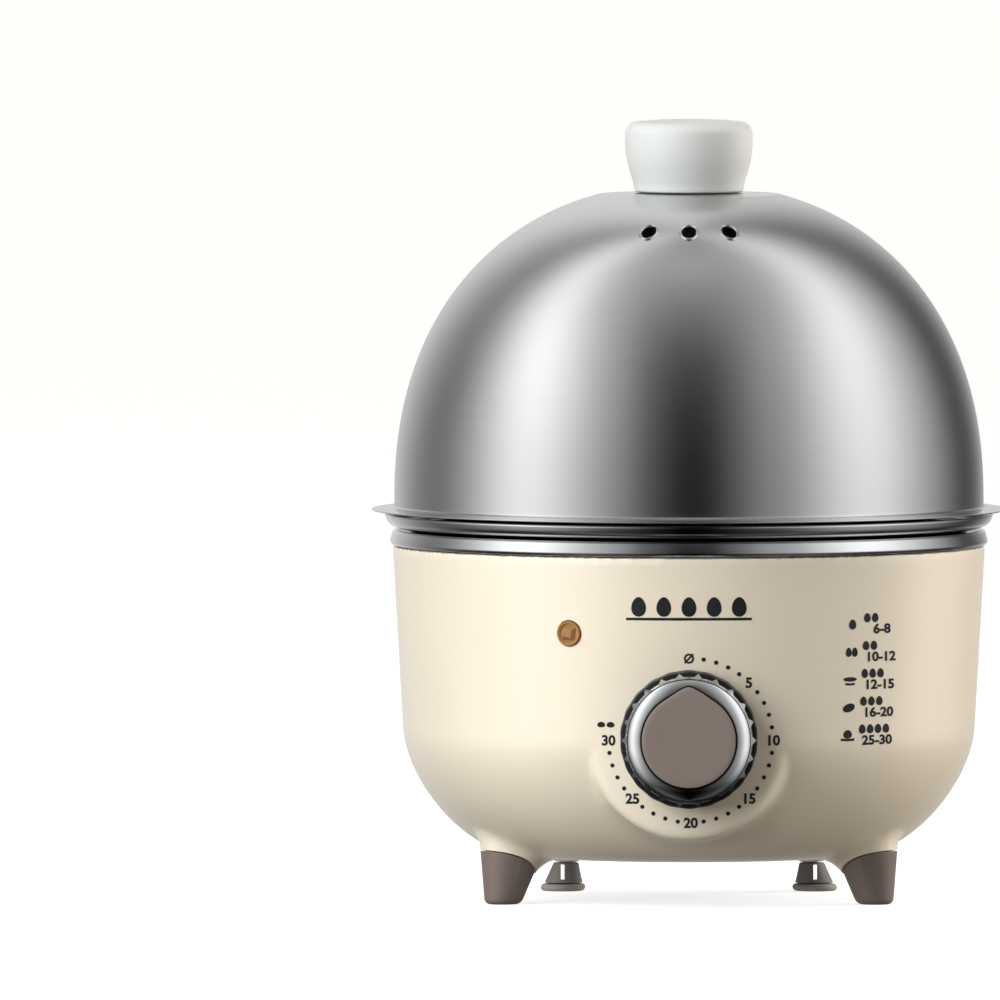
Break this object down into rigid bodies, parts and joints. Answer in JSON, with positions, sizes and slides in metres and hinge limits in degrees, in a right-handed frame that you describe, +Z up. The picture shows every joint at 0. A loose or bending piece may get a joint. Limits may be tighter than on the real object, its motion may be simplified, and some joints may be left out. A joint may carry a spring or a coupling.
{
  "type": "egg cooker",
  "caption": "Electric egg cooker: domed steel lid over an egg tray and water pan, on a round cream base with a front timer dial.",
  "frame": {"origin": "on the floor, under the middle of the bounding box", "axes": "+Z up, front (the timer dial) towards -Y, +X to the right seen from the front"},
  "size_m": [0.1776, 0.1842, 0.2186],
  "materials": {
    "dome_steel": "satin spun stainless steel",
    "pan_steel": "satin pressed stainless steel",
    "tray_steel": "satin pressed stainless steel",
    "lid_knob_plastic": "off-white satin moulded plastic",
    "body_plastic": "cream semi-gloss moulded plastic with dark printed dial marks",
    "foot_plastic": "warm brown satin plastic",
    "rear_foot_plastic": "warm grey plastic",
    "pad_rubber": "pale grey rubber",
    "knob_black": "black satin plastic with moulded ribs",
    "knob_chrome": "bright chrome-plated ring",
    "knob_brown": "warm brown satin plastic",
    "lens_amber": "clear amber-brown moulded lens",
    "neon_glass": "clear glass envelope",
    "gasket_silicone": "pale silicone rubber",
    "screw_steel": "zinc-plated steel",
    "shield_steel": "dull pressed steel",
    "plate_aluminium": "cast aluminium",
    "brass": "stamped brass",
    "ceramic_white": "unglazed white ceramic",
    "black_plastic": "black moulded plastic",
    "white_plastic": "natural white moulded plastic",
    "wire_brown": "brown wire sleeve",
    "wire_blue": "blue wire sleeve",
    "wire_red": "red wire sleeve",
    "wire_green": "green wire sleeve"
  },
  "bodies": {
    "base": {"water_pan": "pan_steel", "pan_gasket": "gasket_silicone", "body_shell": "body_plastic", "foot_front_left": "foot_plastic", "foot_front_right": "foot_plastic", "foot_rear_left": "rear_foot_plastic", "foot_pad_rear_left": "pad_rubber", "foot_rear_right": "rear_foot_plastic", "foot_pad_rear_right": "pad_rubber", "bottom_cover": "black_plastic", "tie_screw_1": "screw_steel", "tie_screw_2": "screw_steel", "tie_screw_3": "screw_steel", "heat_shield": "shield_steel", "heat_plate": "plate_aluminium", "heating_element": "shield_steel", "heater_bush_left": "ceramic_white", "heater_bush_right": "ceramic_white", "heater_tab_left": "brass", "heater_tab_right": "brass", "thermostat": "black_plastic", "thermostat_bracket": "screw_steel", "thermal_fuse": "ceramic_white", "fuse_clip": "screw_steel", "earth_tag": "brass", "timer_housing": "white_plastic", "timer_back_cover": "black_plastic", "timer_mounting_plate": "screw_steel", "timer_contact_moving": "brass", "timer_contact_fixed": "brass", "timer_screw_left": "screw_steel", "timer_screw_right": "screw_steel", "lamp_lens": "lens_amber", "lamp_clip": "white_plastic", "neon_lamp": "neon_glass", "cord_gland": "black_plastic", "terminal_block": "white_plastic", "wire_live": "wire_brown", "wire_neutral": "wire_blue", "wire_timer_load": "wire_red", "wire_fuse_in": "wire_red", "wire_fuse_out": "wire_red", "wire_earth": "wire_green"},
    "tray": {"egg_tray": "tray_steel"},
    "lid": {"lid_dome": "dome_steel", "lid_knob": "lid_knob_plastic", "lid_knob_washer": "screw_steel", "lid_knob_screw": "screw_steel"},
    "knob": {"knob_skirt": "knob_black", "knob_bezel": "knob_chrome", "knob_cap": "knob_brown", "timer_shaft": "white_plastic", "timer_cam": "white_plastic", "timer_spring_barrel": "brass"}
  },
  "joints": [
    {"name": "tray_lift", "type": "slide", "parent": "base", "child": "tray", "axis": [0, 0, 1], "range_m": [0, 0.08]},
    {"name": "lid_lift", "type": "slide", "parent": "tray", "child": "lid", "axis": [0, 0, 1], "range_m": [0, 0.12]},
    {"name": "timer_turn", "type": "hinge", "parent": "base", "child": "knob", "pos_m": [0, -0.07765, 0.049], "axis": [0, 1, 0], "range_deg": [0, 270]}
  ]
}
